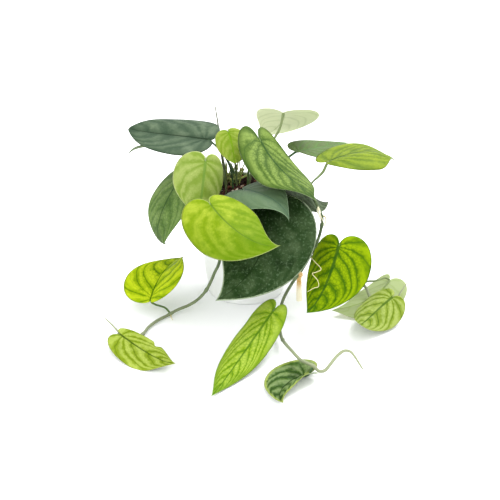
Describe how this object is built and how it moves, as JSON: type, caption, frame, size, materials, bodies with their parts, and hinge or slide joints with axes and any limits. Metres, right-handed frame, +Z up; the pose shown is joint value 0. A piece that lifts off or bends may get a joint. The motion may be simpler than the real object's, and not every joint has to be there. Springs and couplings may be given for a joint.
{
  "type": "potted jade satin pothos",
  "caption": "Tapered round nursery pot filled with bark mix, with heart-shaped satin leaves on upright stalks and vines that spill over the rim and trail along the surface.",
  "frame": {"origin": "middle of the pot's flat underside, on the surface it stands on", "axes": "+Z up, -Y to the front, where the longest leaf and the front vine lie, +X to the right seen from the front"},
  "size_m": [0.3165, 0.3474, 0.1986],
  "materials": {
    "white_plastic": "satin",
    "bark_mix": "rough",
    "stem_green": "satin",
    "leaf_lime": "satin",
    "leaf_bright": "satin",
    "leaf_pale": "satin",
    "leaf_satin": "satin",
    "leaf_deep": "satin"
  },
  "bodies": {
    "root": {"pot": "white_plastic", "soil": "bark_mix", "vine_left": "stem_green", "vine_front": "stem_green", "vine_right": "stem_green", "stem_crown": "stem_green", "spear_leaf": "stem_green", "leaf_dark_left": "leaf_satin", "leaf_young_back": "leaf_lime", "leaf_pale_heart": "leaf_pale", "leaf_lime_front": "leaf_lime", "leaf_veined_top": "leaf_bright", "leaf_grey_right": "leaf_satin", "leaf_deep_front": "leaf_deep", "leaf_saddle": "leaf_satin", "leaf_dark_hanging": "leaf_satin", "leaf_pale_back": "leaf_pale", "leaf_dark_right": "leaf_satin", "leaf_lime_right": "leaf_lime", "leaf_heart_right": "leaf_bright", "leaf_pair_front": "leaf_lime", "leaf_pair_back": "leaf_pale", "leaf_long_veined": "leaf_bright", "leaf_curled_floor": "leaf_satin", "leaf_floor_left": "leaf_lime", "leaf_small_left": "leaf_bright", "leaf_hidden_left": "leaf_satin", "leaf_hidden_right": "leaf_satin"}
  },
  "joints": []
}
